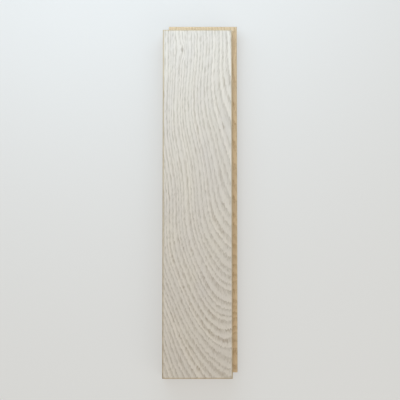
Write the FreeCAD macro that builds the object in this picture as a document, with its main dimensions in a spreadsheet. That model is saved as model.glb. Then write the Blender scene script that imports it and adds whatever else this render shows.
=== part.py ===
"""Solid oak parquet block for a herringbone floor, tongued and grooved on all four sides. Millimetres.

The block lies face up. X runs across it, Y along it and Z up. The origin is at the middle of the
laid face, on the underside. The tongues are on the +X side and the +Y end, and the grooves that take
the neighbouring blocks' tongues are on the -X side and the -Y end, which makes it a right-hand block.
"""

import FreeCAD, Part
import os

import Sketcher

NODE = "parquet_block"
TOLERANCE = 1e-4

# Driving dimensions: name, millimetres, what it measures
DRIVING_DIMENSIONS = [
    ("face_length", 350, "length of the laid face, five times its width"),
    ("face_width", 70, "width of the laid face"),
    ("block_thickness", 22, "underside to face"),
    ("wear_height", 9, "face to the top of the tongue, which is what can be sanded away"),
    ("tongue_thickness", 5, "height of the tongue"),
    ("tongue_reach", 5, "how far the tongue stands out past the face"),
    ("tongue_nose_radius", 1.2, "rounding of the tongue's two long arrises"),
    ("groove_play", 0.1, "clearance above and below a tongue that lies in a groove"),
    ("glue_gap", 0.8, "room left past the tip of a tongue at the back of a groove"),
    ("lower_setback", 0.5, "how far the lower cheeks stand back, so that the faces meet first"),
    ("edge_bevel", 0.8, "leg of the bevel round the face"),
]


def make_sheet(document):
    """Spreadsheet of the driving dimensions, one aliased cell each."""
    sheet = document.addObject("Spreadsheet::Sheet", "Sizes")
    for row, (name, millimetres, meaning) in enumerate(DRIVING_DIMENSIONS, start=1):
        sheet.set(f"A{row}", meaning)
        sheet.set(f"B{row}", str(millimetres))
        sheet.setAlias(f"B{row}", name)
    document.recompute()
    return sheet


def make_sketch(body, name, plane_role):
    """Empty sketch on one of the body's own origin planes."""
    plane = next(item for item in body.Origin.OriginFeatures if item.Role == plane_role)
    sketch = body.newObject("Sketcher::SketchObject", name)
    sketch.AttachmentSupport = [(plane, "")]
    sketch.MapMode = "FlatFace"
    return sketch


def draw_square_outline(sketch, corners):
    """Closed outline of level and upright lines, where line n starts at corner n."""
    count = len(corners)
    for index, (across, up) in enumerate(corners):
        next_across, next_up = corners[(index + 1) % count]
        start = FreeCAD.Vector(across, up, 0)
        end = FreeCAD.Vector(next_across, next_up, 0)
        sketch.addGeometry(Part.LineSegment(start, end))
        is_level = abs(next_up - up) < TOLERANCE
        sketch.addConstraint(Sketcher.Constraint("Horizontal" if is_level else "Vertical", index))
    for index in range(count):
        sketch.addConstraint(Sketcher.Constraint("Coincident", index, 2, (index + 1) % count, 1))


def draw_joint_profile(sketch, sheet, face_size):
    """Section through a tongued side and the grooved side opposite it, cut by one set of knives.

    The tongue is on the positive side. face_size names the cell with the distance across the face.
    """
    half_face = getattr(sheet, face_size) / 2
    face = sheet.block_thickness
    tongue_top = face - sheet.wear_height
    tongue_bottom = tongue_top - sheet.tongue_thickness
    tongue_tip = half_face + sheet.tongue_reach
    groove_top = tongue_top + sheet.groove_play
    groove_bottom = tongue_bottom - sheet.groove_play
    groove_back = -half_face + sheet.tongue_reach + sheet.glue_gap
    lower_cheek = half_face - sheet.lower_setback

    corners = {
        "sole_groove_side": (-lower_cheek, 0),
        "sole_tongue_side": (lower_cheek, 0),
        "tongue_root_low": (lower_cheek, tongue_bottom),
        "tongue_tip_low": (tongue_tip, tongue_bottom),
        "tongue_tip_high": (tongue_tip, tongue_top),
        "tongue_root_high": (half_face, tongue_top),
        "face_tongue_side": (half_face, face),
        "face_groove_side": (-half_face, face),
        "groove_mouth_high": (-half_face, groove_top),
        "groove_back_high": (groove_back, groove_top),
        "groove_back_low": (groove_back, groove_bottom),
        "groove_mouth_low": (-lower_cheek, groove_bottom),
    }
    draw_square_outline(sketch, list(corners.values()))
    origin_point = (-1, 1)
    level_axis = -1

    def point(corner):
        """Sketch reference of a corner: the start of the line that has its number."""
        return (list(corners).index(corner), 1)

    def bind(name, direction, start, end, distance, expression):
        """Named distance, positive from start to end, that follows the sheet."""
        constraint = Sketcher.Constraint(direction, *start, *end, distance)
        sketch.renameConstraint(sketch.addConstraint(constraint), name)
        sketch.setExpression(f"Constraints.{name}", expression)

    def bind_across(name, start, end, expression):
        distance = corners[end][0] - corners[start][0]
        bind(name, "DistanceX", point(start), point(end), distance, expression)

    def bind_up(name, start, end, expression):
        distance = corners[end][1] - corners[start][1]
        bind(name, "DistanceY", point(start), point(end), distance, expression)

    sole_on_axis = Sketcher.Constraint("PointOnObject", *point("sole_groove_side"), level_axis)
    sketch.addConstraint(sole_on_axis)
    half_face_size = f"Sizes.{face_size} / 2"
    bind("half_face", "DistanceX", origin_point, point("face_tongue_side"), half_face, half_face_size)
    bind_across("face", "face_groove_side", "face_tongue_side", f"Sizes.{face_size}")
    bind_up("thickness", "sole_tongue_side", "face_tongue_side", "Sizes.block_thickness")
    bind_up("wear", "tongue_root_high", "face_tongue_side", "Sizes.wear_height")
    bind_up("tongue", "tongue_tip_low", "tongue_tip_high", "Sizes.tongue_thickness")
    bind_across("reach", "tongue_root_high", "tongue_tip_high", "Sizes.tongue_reach")
    bind_up("play_above", "tongue_root_high", "groove_mouth_high", "Sizes.groove_play")
    bind_up("play_below", "groove_mouth_low", "tongue_root_low", "Sizes.groove_play")
    groove_depth = "Sizes.tongue_reach + Sizes.glue_gap"
    bind_across("groove_depth", "groove_mouth_high", "groove_back_high", groove_depth)
    bind_across("tongue_setback", "sole_tongue_side", "tongue_root_high", "Sizes.lower_setback")
    bind_across("groove_setback", "face_groove_side", "groove_mouth_low", "Sizes.lower_setback")


def mill_profile(body, name, sheet, plane_role, face_size, run_size):
    """Joint profile run straight through, long enough to reach past the tongue at each end of the run."""
    sketch = make_sketch(body, f"{name}Section", plane_role)
    draw_joint_profile(sketch, sheet, face_size)
    pad = body.newObject("PartDesign::Pad", f"{name}Run")
    pad.Profile = sketch
    pad.SideType = "Symmetric"
    pad.setExpression("Length", f"Sizes.{run_size} + 2 * Sizes.tongue_reach")
    return pad


def edges_where(shape, is_wanted):
    """Names of the edges whose bounding box passes the test."""
    return [f"Edge{n}" for n, edge in enumerate(shape.Edges, start=1) if is_wanted(edge.BoundBox)]


def near(value, target):
    return abs(value - target) < TOLERANCE


def make_block(document, sheet):
    """The block: its side profile run along the strip, the end profile run across, and the eased edges."""
    # The end profile, run across the block. What both profiles leave standing is the end-matched block.
    end_body = document.addObject("PartDesign::Body", "EndMilling")
    mill_profile(end_body, "End", sheet, "YZ_Plane", "face_length", "face_width")

    block = document.addObject("PartDesign::Body", "ParquetBlock")
    block.Label = NODE
    mill_profile(block, "Side", sheet, "XZ_Plane", "face_width", "face_length")
    document.recompute()

    end_match = block.newObject("PartDesign::Boolean", "EndMatching")
    end_match.Type = "Common"
    end_match.setObjects([end_body])
    document.recompute()

    # Bevel round the four edges of the face
    face = sheet.block_thickness
    face_edges = edges_where(
        end_match.Shape, lambda box: near(box.ZMin, face) and near(box.ZMax, face)
    )
    bevel = block.newObject("PartDesign::Chamfer", "FaceBevel")
    bevel.Base = (end_match, face_edges)
    bevel.setExpression("Size", "Sizes.edge_bevel")
    document.recompute()

    # Rounded nose along both tongues, so that they enter a groove
    side_tip = sheet.face_width / 2 + sheet.tongue_reach
    end_tip = sheet.face_length / 2 + sheet.tongue_reach

    def on_tongue_nose(box):
        is_level = near(box.ZMin, box.ZMax)
        on_side = near(box.XMin, side_tip) and near(box.XMax, side_tip)
        on_end = near(box.YMin, end_tip) and near(box.YMax, end_tip)
        return is_level and (on_side or on_end)

    nose = block.newObject("PartDesign::Fillet", "TongueNose")
    nose.Base = (bevel, edges_where(bevel.Shape, on_tongue_nose))
    nose.setExpression("Radius", "Sizes.tongue_nose_radius")
    document.recompute()
    block.Tip = nose
    return block


def check_document(document, block):
    """Stops the build where a feature failed or the block isn't one sound solid."""
    failed = [item.Name for item in document.Objects if {"Invalid", "Error"} & set(item.State)]
    if failed:
        raise RuntimeError(f"features failed: {failed}")
    shape = block.Shape
    if shape.isNull() or not shape.isValid() or len(shape.Solids) != 1:
        raise RuntimeError("the block isn't one valid solid")


document = FreeCAD.newDocument("ParquetBlockModel")
sizes = make_sheet(document)
parquet_block = make_block(document, sizes)
document.recompute()
check_document(document, parquet_block)

os.makedirs("parts", exist_ok=True)
parquet_block.Shape.exportStep(os.path.join("parts", f"{parquet_block.Label}.step"))
print(f"{NODE}: {parquet_block.Shape.Volume / 1000:.1f} cm3, {parquet_block.Shape.BoundBox}")
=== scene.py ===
"""Solid oak parquet block with a brushed, white-oiled face, lying on a pale studio floor. Metres."""

from math import cos, pi, radians, sin

import bmesh
import bpy
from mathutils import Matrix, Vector


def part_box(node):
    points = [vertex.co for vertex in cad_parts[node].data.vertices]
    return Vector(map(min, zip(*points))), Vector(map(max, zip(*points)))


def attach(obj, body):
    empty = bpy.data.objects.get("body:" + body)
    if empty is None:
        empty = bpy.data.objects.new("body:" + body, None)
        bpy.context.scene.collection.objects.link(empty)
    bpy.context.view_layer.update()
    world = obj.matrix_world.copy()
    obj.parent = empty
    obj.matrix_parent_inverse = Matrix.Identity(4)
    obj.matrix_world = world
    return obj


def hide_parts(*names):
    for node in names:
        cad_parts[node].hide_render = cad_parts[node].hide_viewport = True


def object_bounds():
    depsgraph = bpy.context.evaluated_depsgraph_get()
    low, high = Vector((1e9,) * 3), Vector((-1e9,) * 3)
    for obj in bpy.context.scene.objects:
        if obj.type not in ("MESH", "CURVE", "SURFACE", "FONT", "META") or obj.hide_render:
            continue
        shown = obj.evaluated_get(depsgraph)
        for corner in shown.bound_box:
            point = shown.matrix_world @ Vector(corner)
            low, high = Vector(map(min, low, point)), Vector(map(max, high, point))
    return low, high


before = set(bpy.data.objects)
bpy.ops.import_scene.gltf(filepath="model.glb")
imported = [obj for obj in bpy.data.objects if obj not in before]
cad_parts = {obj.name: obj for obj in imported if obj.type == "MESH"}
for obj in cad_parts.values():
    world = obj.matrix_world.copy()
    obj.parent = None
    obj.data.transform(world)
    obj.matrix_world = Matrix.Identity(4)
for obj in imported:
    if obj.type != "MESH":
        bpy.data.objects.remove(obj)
cad_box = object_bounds()

# Parquet block
# One piece of solid oak, planed all round, with the tongues, the grooves and the bevel milled into it.
# Its mesh is the milled block with the arrises just broken, cut finely enough for the brushing below.
MM = 0.001
MERGE_DISTANCE = 0.001 * MM
FLAT_ANGLE = radians(1)
ARRIS_RADIUS = 0.15 * MM
ARRIS_SEGMENTS = 2
SHARPEST_CURVE = radians(42)
SHARP_SHADING = radians(30)
GRID_ALONG = 0.95 * MM
GRID_ACROSS = 0.42 * MM
BEVEL_BAND = 0.9 * MM

block_low, block_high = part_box("parquet_block")
block_top = block_high.z
block_width = block_high.x - block_low.x


def slice_along(shape, spacing):
    """Cuts the whole shape across its length at an even spacing, so that its long faces become short ones."""
    start = min(vert.co.y for vert in shape.verts)
    end = max(vert.co.y for vert in shape.verts)
    count = round((end - start) / spacing)
    uncut = shape.verts[:] + shape.edges[:] + shape.faces[:]
    for station in range(1, count):
        cut_at = start + (end - start) * station / count
        cut = bmesh.ops.bisect_plane(
            shape, geom=uncut, dist=MERGE_DISTANCE, plane_co=(0, cut_at, 0), plane_no=(0, 1, 0)
        )
        uncut = [
            item
            for item in cut["geom"]
            if max(vert.co.y for vert in getattr(item, "verts", [item])) > cut_at - MERGE_DISTANCE
        ]


def slice_face_across(shape, spacing):
    """Cuts the strips of the face, and of the bevels at its two ends, into narrow pieces."""
    strips = [
        edge
        for edge in shape.edges
        if min(vert.co.z for vert in edge.verts) > block_top - BEVEL_BAND - ARRIS_RADIUS
        and abs(edge.verts[0].co.y - edge.verts[1].co.y) < MERGE_DISTANCE
        and edge.calc_length() > block_width / 2
    ]
    cuts = round(strips[0].calc_length() / spacing) - 1
    bmesh.ops.subdivide_edges(shape, edges=strips, cuts=cuts, use_grid_fill=True)


shape = bmesh.new()
shape.from_mesh(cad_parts["parquet_block"].data)
bmesh.ops.remove_doubles(shape, verts=shape.verts, dist=MERGE_DISTANCE)
bmesh.ops.dissolve_limit(shape, angle_limit=FLAT_ANGLE, verts=shape.verts, edges=shape.edges)
arrises = [edge for edge in shape.edges if edge.is_convex and edge.calc_face_angle() > SHARPEST_CURVE]
bmesh.ops.bevel(
    shape, geom=arrises, offset=ARRIS_RADIUS, offset_type="OFFSET", segments=ARRIS_SEGMENTS, profile=0.5,
    affect="EDGES", material=-1, clamp_overlap=True,
)
slice_along(shape, GRID_ALONG)
slice_face_across(shape, GRID_ACROSS)

# Which finish each facet has, by the way it points
FACE, BEVEL, SIDE, END = range(4)
FACE_TILT, BEVEL_TILT, END_TILT = radians(20), radians(70), radians(40)
for facet in shape.faces:
    facet.smooth = True
    is_high = facet.calc_center_median().z > block_top - BEVEL_BAND
    if is_high and facet.normal.z > cos(FACE_TILT):
        facet.material_index = FACE
    elif is_high and facet.normal.z > cos(BEVEL_TILT):
        facet.material_index = BEVEL
    elif abs(facet.normal.y) > cos(END_TILT):
        facet.material_index = END
    else:
        facet.material_index = SIDE
face_verts = [vert.co for vert in shape.verts if vert.co.z > block_top - MERGE_DISTANCE]
face_half_width = max(place.x for place in face_verts)
face_half_length = max(place.y for place in face_verts)

block_mesh = bpy.data.meshes.new("oak_block")
shape.to_mesh(block_mesh)
shape.free()
block_mesh.set_sharp_from_angle(angle=SHARP_SHADING)
block = bpy.data.objects.new("oak_block", block_mesh)
bpy.context.scene.collection.objects.link(block)
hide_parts("parquet_block")
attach(block, "root")

# Brushed face
# Wire brushes wear down the soft early wood of the face, though not at its rim, and leave its rings standing.
# The rings are those of the log that the block was sawn from, described here once, for its colours as well.
BRUSH_DEPTH = 0.1 * MM
BRUSH_RIM = 1.0 * MM
BRUSH_ONSET = 0.7
BRUSH_LEAST = 0.6


def put(tree, kind, inputs=(), **settings):
    """New node with its settings and inputs filled in. An input is a value, a socket or a Field."""
    node = tree.nodes.new(kind)
    for name, value in settings.items():
        setattr(node, name, value)
    for key, value in dict(inputs).items():
        value = getattr(value, "socket", value)
        if isinstance(value, bpy.types.NodeSocket):
            tree.links.new(value, node.inputs[key])
        else:
            node.inputs[key].default_value = value
    return node


class Field:
    """A number that varies through the wood. Arithmetic on it adds math nodes to its tree."""

    def __init__(self, tree, socket):
        self.tree = tree
        self.socket = socket

    def math(self, operation, *others):
        node = put(self.tree, "ShaderNodeMath", enumerate((self, *others)), operation=operation)
        return Field(self.tree, node.outputs[0])

    def __add__(self, other):
        return self.math("ADD", other)

    __radd__ = __add__

    def __sub__(self, other):
        return self.math("SUBTRACT", other)

    def __mul__(self, other):
        return self.math("MULTIPLY", other)

    def __truediv__(self, other):
        return self.math("DIVIDE", other)

    def ramp(self, start, end, low=0.0, high=1.0):
        """Smooth change from low to high while this goes from start to end, and level beyond."""
        inputs = {"Value": self, "From Min": start, "From Max": end, "To Min": low, "To Max": high}
        node = put(self.tree, "ShaderNodeMapRange", inputs, interpolation_type="SMOOTHSTEP")
        return Field(self.tree, node.outputs[0])

    def at_least(self, least):
        """This, squeezed from the range 0 to 1 into the range least to 1."""
        return self * (1 - least) + least


class Log:
    """The oak that the block was sawn from, as nodes that any tree can hold. Millimetres.

    The pith runs below the face, past the +X side. Towards the -Y end it bends away from the face, which
    draws the rings out there into wide nested arcs, and a branch past the +X side levels them out beside it.
    The pith sways on its way, and so does the grain, aslant. A small knot comes up near the +Y end.
    """

    RING_WIDTH = 2.5
    PITH_ACROSS, PITH_LEAN = 44.5, 0.033
    SWAY, SWAY_LENGTH, SWAY_START = 2.43, 165.3, -28.3
    WAVE, WAVE_LENGTH, WAVE_START, WAVE_ASLANT = 1.03, 110.2, 11.1, 1.04
    UPPER_DEPTH, UPPER_SLOPE = 51.9, -0.124
    LOWER_DEPTH, LOWER_SLOPE = 49.8, -0.293
    DEPTH_BLEND = 9.6
    KNOT_ACROSS, KNOT_ALONG, KNOT_LEAN, KNOT_STRETCH = -15.6, 154.5, -0.7, 0.55
    KNOT_CORE, KNOT_EDGE, KNOT_SWELL, KNOT_REACH = 0.65, 1.82, 2.6, 4.5
    BRANCH_ACROSS, BRANCH_ALONG, BRANCH_SWELL, BRANCH_REACH = 52.0, -132.0, 4.9, 20.5
    SLOW_WAVE, SLOW_WAVE_CELL = 0.7, (26, 70, 26)
    QUICK_WAVE, QUICK_WAVE_CELL = 0.75, (1.3, 11, 1.6)
    WEATHER_SHIFT, WEATHER_PACE = 0.9, 0.45
    EARLY_SHARE, EARLY_EXTRA = 0.62, 0.2

    def __init__(self, tree, position):
        self.tree = tree
        place = self.scaled(position, (1 / MM,) * 3)
        sockets = put(tree, "ShaderNodeSeparateXYZ", {"Vector": place}).outputs
        self.x, self.along, z = (Field(tree, socket) for socket in sockets)
        self.below_face = z - block_top / MM
        sway = self.wave(self.along, self.SWAY, self.SWAY_LENGTH, self.SWAY_START)
        aslant = self.along - self.x * self.WAVE_ASLANT
        wave = self.wave(aslant, self.WAVE, self.WAVE_LENGTH, self.WAVE_START)
        self.across = self.x - self.along * self.PITH_LEAN - self.PITH_ACROSS - sway - wave
        self.out = self.below_face + self.pith_depth()
        grain = {"X": self.across, "Y": self.along, "Z": self.out}
        self.fibre = put(tree, "ShaderNodeCombineXYZ", grain).outputs[0]
        self.grow()

    def scaled(self, vector, factors):
        node = put(self.tree, "ShaderNodeVectorMath", {0: vector, 1: factors}, operation="MULTIPLY")
        return node.outputs[0]

    def wave(self, place, height, length, start):
        """Sine wave of this height and length that rises through zero where the place is at its start."""
        return ((place - start) * (2 * pi / length)).math("SINE") * height

    def noise(self, place, cell, detail=0.0):
        """Soft noise from about -1 to 1, in cells of this size across, along and out from the pith."""
        vector = self.scaled(place, [1 / side for side in cell])
        node = put(self.tree, "ShaderNodeTexNoise", {"Vector": vector, "Scale": 1.0, "Detail": detail})
        return (Field(self.tree, node.outputs[0]) - 0.5) * 2.0

    def spots(self, place, cell, core, edge):
        """Scattered spots, one to a cell, that fade from core to edge, and a random number for each."""
        vector = self.scaled(place, [1 / side for side in cell])
        node = put(self.tree, "ShaderNodeTexVoronoi", {"Vector": vector, "Scale": 1.0})
        chance = put(self.tree, "ShaderNodeSeparateColor", {"Color": node.outputs["Color"]}).outputs["Red"]
        distance = Field(self.tree, node.outputs["Distance"])
        return distance.ramp(core, edge, low=1.0, high=0.0), Field(self.tree, chance)

    def pith_depth(self):
        """How far the pith lies below the face, along the block."""
        upper = self.along * self.UPPER_SLOPE + self.UPPER_DEPTH
        lower = self.along * self.LOWER_SLOPE + self.LOWER_DEPTH
        return upper.math("SMOOTH_MAX", lower, self.DEPTH_BLEND)

    def swelling(self, squared, height, reach):
        """How far the rings are pushed out round a branch, at this squared distance from its middle."""
        return (squared * (-1 / reach**2)).math("EXPONENT") * height

    def grow(self):
        """Yearly rings: distance from the pith, how far into its year a place is, and that year's vigour."""
        knot_across = self.x - self.KNOT_ACROSS - self.below_face * self.KNOT_LEAN
        knot_along = (self.along - self.KNOT_ALONG) * self.KNOT_STRETCH
        knot_squared = knot_across * knot_across + knot_along * knot_along
        self.from_knot = knot_squared.math("SQRT")
        branch_across = self.x - self.BRANCH_ACROSS
        branch_along = self.along - self.BRANCH_ALONG
        branch_squared = branch_across * branch_across + branch_along * branch_along
        swell = self.swelling(knot_squared, self.KNOT_SWELL, self.KNOT_REACH)
        swell = swell + self.swelling(branch_squared, self.BRANCH_SWELL, self.BRANCH_REACH)

        slow_wave = self.noise(self.fibre, self.SLOW_WAVE_CELL) * self.SLOW_WAVE
        quick_wave = self.noise(self.fibre, self.QUICK_WAVE_CELL, detail=1.0) * self.QUICK_WAVE
        straight = (self.across * self.across + self.out * self.out).math("SQRT")
        self.radius = straight + slow_wave + quick_wave + swell

        steady = self.radius / self.RING_WIDTH
        weather_place = {"W": steady * self.WEATHER_PACE, "Scale": 1.0}
        weather = put(self.tree, "ShaderNodeTexNoise", weather_place, noise_dimensions="1D").outputs[0]
        years = steady + Field(self.tree, weather) * self.WEATHER_SHIFT
        self.season = years.math("FRACT")
        year = years.math("FLOOR")
        vigour = put(self.tree, "ShaderNodeTexWhiteNoise", {"W": year}, noise_dimensions="1D").outputs[0]
        self.vigour = Field(self.tree, vigour)

    def early_wood(self, onset):
        """Soft spring growth, 1 where a ring starts. Onset is how late in the year before it sets in."""
        share = self.vigour * self.EARLY_EXTRA + self.EARLY_SHARE
        fading = self.season.ramp(0.0, share, low=1.0, high=0.0)
        return fading.math("MAXIMUM", self.season.ramp(onset, 1.0))

    def rim(self):
        """Distance from the edge of the face."""
        beside = self.x.math("ABSOLUTE") * -1.0 + face_half_width / MM
        before = self.along.math("ABSOLUTE") * -1.0 + face_half_length / MM
        return beside.math("MINIMUM", before)


brushing = bpy.data.node_groups.new("brushed_face", "GeometryNodeTree")
brushing.interface.new_socket("Geometry", in_out="INPUT", socket_type="NodeSocketGeometry")
brushing.interface.new_socket("Geometry", in_out="OUTPUT", socket_type="NodeSocketGeometry")
log = Log(brushing, put(brushing, "GeometryNodeInputPosition").outputs[0])
on_face = log.below_face.math("GREATER_THAN", -MERGE_DISTANCE / MM)
worn = log.early_wood(BRUSH_ONSET) * log.vigour.at_least(BRUSH_LEAST)
worn = worn * log.rim().ramp(0.0, BRUSH_RIM / MM) * on_face
offset = put(brushing, "ShaderNodeCombineXYZ", {"Z": worn * -BRUSH_DEPTH}).outputs[0]
unbrushed = put(brushing, "NodeGroupInput").outputs[0]
brushed = put(brushing, "GeometryNodeSetPosition", {"Geometry": unbrushed, "Offset": offset}).outputs[0]
put(brushing, "NodeGroupOutput", {"Geometry": brushed})
block.modifiers.new("brushed_face", "NODES").node_group = brushing

# Figure of the oak
# Growth rings, pores, rays and a small knot, and the ripple of the planer's knives, as a node group of masks.
# Every finish of the block uses this one group, so that the grain runs on from each side to the next.
EARLY_ONSET = 0.9
YEAR_LEAST = 0.5
MEAN_VIGOUR = 0.5
VESSEL_RARITY, MOUTH_RARITY, PORE_FADE = 0.9, 0.8, 0.2
# Lengths in millimetres, and cells across, along and out from the pith
STRONG_ALONG, FAINT_ALONG = -150, 0
MEAN_RADIUS = 70.0
KNIFE_PITCH = 1.6
TICK_CELL = (0.9, 12, 1.4)
BREAK_CELL = (2.6, 10, 2.6)
FIBRE_CELL = (0.35, 18, 0.6)
STREAK_CELL = (2.5, 60, 2.5)
TONE_CELL = (16, 60, 16)
VESSEL_CELL = (0.38, 14, 1.1)
MOUTH_CELL = (0.4, 12, 0.4)
SPECK_CELL = (0.5, 6, 0.8)
RAY_CELL = (1.0, 9, 14)

figure = bpy.data.node_groups.new("oak_figure", "ShaderNodeTree")
figure.interface.new_socket("Place", in_out="INPUT", socket_type="NodeSocketVector")
log = Log(figure, put(figure, "NodeGroupInput").outputs[0])

early_wood = log.early_wood(EARLY_ONSET)
ticks = log.noise(log.fibre, TICK_CELL, detail=1.0)
breaks = log.noise(log.fibre, BREAK_CELL, detail=1.0)
broken = ticks.ramp(start=-0.5, end=0.35, low=0.3) * breaks.ramp(start=-0.45, end=0.45, low=0.45, high=1.2)
marked = log.vigour.at_least(YEAR_LEAST) * log.along.ramp(STRONG_ALONG, FAINT_ALONG, low=1.2, high=0.92)

vessels, vessel_chance = log.spots(log.fibre, VESSEL_CELL, core=0.2, edge=0.5)
vessels = vessels * (early_wood - vessel_chance * VESSEL_RARITY).ramp(0.0, PORE_FADE)
mouths, mouth_chance = log.spots(log.fibre, MOUTH_CELL, core=0.25, edge=0.45)
mouths = mouths * (early_wood - mouth_chance * MOUTH_RARITY).ramp(0.0, PORE_FADE)
specks, speck_chance = log.spots(log.fibre, SPECK_CELL, core=0.1, edge=0.4)
specks = specks * speck_chance.ramp(start=0.4, end=0.9)

arc = log.across.math("ARCTAN2", log.out) * MEAN_RADIUS
sheet = put(figure, "ShaderNodeCombineXYZ", {"X": arc, "Y": log.along, "Z": log.radius}).outputs[0]
rays, ray_chance = log.spots(sheet, RAY_CELL, core=0.1, edge=0.32)
rays = rays * ray_chance.ramp(start=0.2, end=0.8)

masks = {
    "Early Wood": early_wood * broken * marked,
    "Years": log.vigour - MEAN_VIGOUR,
    "Vessels": vessels,
    "Vessel Mouths": mouths,
    "Specks": specks,
    "Rays": rays,
    "Ticks": ticks,
    "Fibres": log.noise(log.fibre, FIBRE_CELL, detail=2.0),
    "Streaks": log.noise(log.fibre, STREAK_CELL, detail=1.0),
    "Tone": log.noise(log.fibre, TONE_CELL, detail=1.0),
    "Knot": log.from_knot.ramp(log.KNOT_CORE, log.KNOT_EDGE, low=1.0, high=0.0),
    "Knife Marks": log.wave(log.along, height=1.0, length=KNIFE_PITCH, start=0.0),
    "Rim": log.rim(),
}
for name in masks:
    figure.interface.new_socket(name, in_out="OUTPUT", socket_type="NodeSocketFloat")
put(figure, "NodeGroupOutput", masks)

# Finishes of the oak
# White oil covers the brushed face and thins out on its bevel. The milled sides, tongues, grooves and
# underside are bare, and so are the ends, which are the darkest because the pores are cut open there.
SCREEN_TOE, SCREEN_GAMMA = 0.055, 2.4
SPECK_STRENGTH, PORE_STRENGTH, KNOT_STRENGTH = 0.25, 0.5, 0.55
RIM_WIDTH, RIM_STRENGTH = 0.7, 0.7
SHADING = {"Fibres": 0.05, "Ticks": 0.05, "Streaks": 0.04, "Tone": 0.04, "Years": 0.08}
TONE_WARMTH = 0.03
PORE_DULLNESS, FIBRE_DULLNESS = 0.2, 0.05
FIBRE_RELIEF = 0.2


def screen(red, green, blue):
    """Linear colour of screen levels from 0 to 255."""
    levels = (level / 255 for level in (red, green, blue))
    return (*(((level + SCREEN_TOE) / (1 + SCREEN_TOE)) ** SCREEN_GAMMA for level in levels), 1.0)


def make_oak(
    name, late, early, pore, ray, ray_strength, roughness, pore_depth,
    pores="Vessels", knife_height=0.0, rim=None,
):
    """Oak in these colours, named for what they colour, with its pores and knife marks in millimetres.

    Where a rim colour is given, it shows in a narrow line along the edge of the face.
    """
    material = bpy.data.materials.new(name)
    material.use_nodes = True
    tree = material.node_tree
    shader = tree.nodes["Principled BSDF"]
    place = put(tree, "ShaderNodeTexCoord").outputs["Object"]
    group = put(tree, "ShaderNodeGroup", node_tree=figure)
    tree.links.new(place, group.inputs["Place"])
    mask = {socket.name: Field(tree, socket) for socket in group.outputs}

    def mix(factor, first, second, blend_type="MIX"):
        inputs = {"Factor": factor, "A": first, "B": second}
        return put(tree, "ShaderNodeMix", inputs, data_type="RGBA", blend_type=blend_type).outputs["Result"]

    colour = mix(mask["Early Wood"], late, early)
    colour = mix(mask["Rays"] * ray_strength, colour, ray)
    colour = mix(mask["Specks"] * SPECK_STRENGTH, colour, pore)
    colour = mix(mask[pores] * PORE_STRENGTH, colour, pore)
    colour = mix(mask["Knot"] * KNOT_STRENGTH, colour, pore)
    if rim:
        colour = mix(mask["Rim"].ramp(0.0, RIM_WIDTH, low=RIM_STRENGTH, high=0.0), colour, rim)
    shade = sum((mask[kind] * strength for kind, strength in SHADING.items()), start=1.0)
    blue = shade - mask["Tone"] * TONE_WARMTH
    tint = put(tree, "ShaderNodeCombineXYZ", {"X": shade, "Y": shade, "Z": blue}).outputs[0]
    tree.links.new(mix(1.0, colour, tint, "MULTIPLY"), shader.inputs["Base Color"])

    dull = mask[pores] * PORE_DULLNESS + mask["Fibres"] * FIBRE_DULLNESS + roughness
    tree.links.new(dull.socket, shader.inputs["Roughness"])
    height = mask["Fibres"] * (pore_depth * FIBRE_RELIEF) - mask[pores] * pore_depth
    if knife_height:
        height = height + mask["Knife Marks"] * knife_height
    bump = put(tree, "ShaderNodeBump", {"Strength": 1.0, "Distance": MM, "Height": height})
    tree.links.new(bump.outputs[0], shader.inputs["Normal"])
    return material


for finish in (
    make_oak(
        "white_oiled_oak", late=screen(211, 203, 193), early=screen(172, 160, 145),
        pore=screen(146, 134, 118), ray=screen(180, 170, 156), ray_strength=0.5,
        roughness=0.52, pore_depth=0.06, rim=screen(190, 174, 146),
    ),
    make_oak(
        "oiled_bevel", late=screen(190, 172, 142), early=screen(165, 144, 112),
        pore=screen(128, 107, 80), ray=screen(160, 140, 110), ray_strength=0.4,
        roughness=0.5, pore_depth=0.04, knife_height=0.004,
    ),
    make_oak(
        "milled_oak", late=screen(208, 184, 149), early=screen(182, 154, 117),
        pore=screen(130, 102, 70), ray=screen(218, 197, 164), ray_strength=0.6,
        roughness=0.6, pore_depth=0.05, pores="Vessel Mouths", knife_height=0.006,
    ),
    make_oak(
        "end_grain", late=screen(190, 162, 124), early=screen(164, 132, 94),
        pore=screen(96, 71, 45), ray=screen(212, 187, 150), ray_strength=0.7,
        roughness=0.7, pore_depth=0.08, pores="Vessel Mouths",
    ),
):
    block_mesh.materials.append(finish)

# Floor
# A plain pale studio floor under the block, painted matt. Where it is looked at, an even glow stands in for
# half of its paint, so that it is pale all over and still shows the shadow of the block.
FLOOR_SIZE = 6.0
FLOOR_COLOUR, FLOOR_ROUGHNESS = screen(216, 216, 214), 0.8
GLOW_COLOUR, GLOW_SHARE = screen(230, 230, 229), 0.5
floor_shape = bmesh.new()
bmesh.ops.create_grid(floor_shape, x_segments=1, y_segments=1, size=FLOOR_SIZE / 2)
floor_mesh = bpy.data.meshes.new("floor")
floor_shape.to_mesh(floor_mesh)
floor_shape.free()
floor = bpy.data.objects.new("floor", floor_mesh)
bpy.context.scene.collection.objects.link(floor)
floor_paint = bpy.data.materials.new("floor_paint")
floor_paint.use_nodes = True
floor_tree = floor_paint.node_tree
floor_shader = floor_tree.nodes["Principled BSDF"]
floor_shader.inputs["Base Color"].default_value = FLOOR_COLOUR
floor_shader.inputs["Roughness"].default_value = FLOOR_ROUGHNESS
floor_mesh.materials.append(floor_paint)


def seen(tree):
    """1 for what is looked at, in the picture or in a reflection, and 0 for the light that it sheds."""
    path = put(tree, "ShaderNodeLightPath").outputs
    direct = Field(tree, path["Is Camera Ray"])
    return direct.math("MAXIMUM", path["Is Glossy Ray"]).math("MAXIMUM", path["Is Transmission Ray"])


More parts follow.
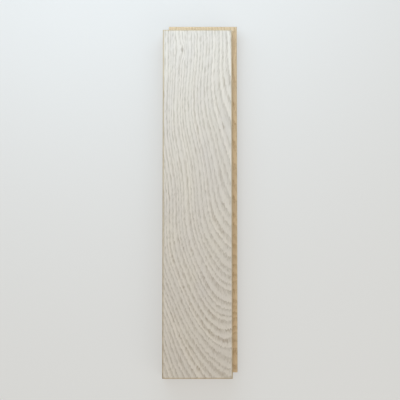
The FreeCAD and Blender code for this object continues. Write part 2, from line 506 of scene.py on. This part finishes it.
glow = put(floor_tree, "ShaderNodeEmission", {"Color": GLOW_COLOUR, "Strength": 1.0}).outputs[0]
glow_share = seen(floor_tree) * GLOW_SHARE
even = put(floor_tree, "ShaderNodeMixShader", {0: glow_share, 1: floor_shader.outputs[0], 2: glow})
floor_tree.links.new(even.outputs[0], floor_tree.nodes["Material Output"].inputs["Surface"])

# Light
# A soft box over the block, a fill lamp in front of it, a small cool window beyond its tongued end, and the
# warm light of a pale room all round, which is seen as a plain grey backdrop.
ROOM_COLOUR, ROOM_STRENGTH = (1.0, 0.946, 0.85, 1.0), 0.415
BACKDROP_COLOUR = screen(196, 195, 192)
WARM_WHITE = (1.0, 0.956, 0.874)
DAYLIGHT = (0.66, 0.834, 1.0)
world = bpy.data.worlds.new("room")
bpy.context.scene.world = world
world.use_nodes = True
room_tree = world.node_tree
room_light = room_tree.nodes["Background"]
room_light.inputs["Color"].default_value = ROOM_COLOUR
room_light.inputs["Strength"].default_value = ROOM_STRENGTH
backdrop = put(room_tree, "ShaderNodeBackground", {"Color": BACKDROP_COLOUR, "Strength": 1.0}).outputs[0]
room = put(room_tree, "ShaderNodeMixShader", {0: seen(room_tree), 1: room_light.outputs[0], 2: backdrop})
room_tree.links.new(room.outputs[0], room_tree.nodes["World Output"].inputs["Surface"])


def hang_lamp(name, location, width, height, watts, colour, aim=(0, 0, 0)):
    """Flat lamp that shines from its location at the aim."""
    lamp_data = bpy.data.lights.new(name, "AREA")
    lamp_data.shape = "RECTANGLE"
    lamp_data.size = width
    lamp_data.size_y = height
    lamp_data.energy = watts
    lamp_data.color = colour
    lamp = bpy.data.objects.new(name, lamp_data)
    bpy.context.scene.collection.objects.link(lamp)
    lamp.visible_camera = False
    lamp.location = location
    lamp.rotation_mode = "QUATERNION"
    lamp.rotation_quaternion = (Vector(aim) - lamp.location).to_track_quat("-Z", "Y")


hang_lamp("soft_box", location=(-0.3, -0.2, 1.8), width=1.4, height=1.4, watts=7.74, colour=WARM_WHITE)
hang_lamp("fill", location=(0.8, -1.0, 0.7), width=1.2, height=1.0, watts=4.65, colour=WARM_WHITE)
hang_lamp(
    "window", location=(-0.06, 0.31, 0.25), width=0.6, height=0.25, watts=1.41, colour=DAYLIGHT,
    aim=(0, 0.08, 0),
)

# Camera
# Nearly straight down on the face, a little nearer to the grooved end, as a floor sample is looked at.
# The lens is long enough to keep the sides of the block parallel.
CAMERA_DISTANCE = 1.2
CAMERA_ELEVATION = radians(86)
VIEW_HEIGHT = 0.4
camera = bpy.data.objects.new("camera", bpy.data.cameras.new("camera"))
bpy.context.scene.collection.objects.link(camera)
camera.data.lens = camera.data.sensor_width * CAMERA_DISTANCE / VIEW_HEIGHT
middle = (cad_box[0] + cad_box[1]) / 2
target = Vector((middle.x, middle.y, block_top))
back = Vector((0.0, -cos(CAMERA_ELEVATION), sin(CAMERA_ELEVATION)))
camera.location = target + back * CAMERA_DISTANCE
camera.rotation_mode = "QUATERNION"
camera.rotation_quaternion = (-back).to_track_quat("-Z", "Y")
bpy.context.scene.camera = camera
bpy.context.scene.view_settings.view_transform = "Standard"
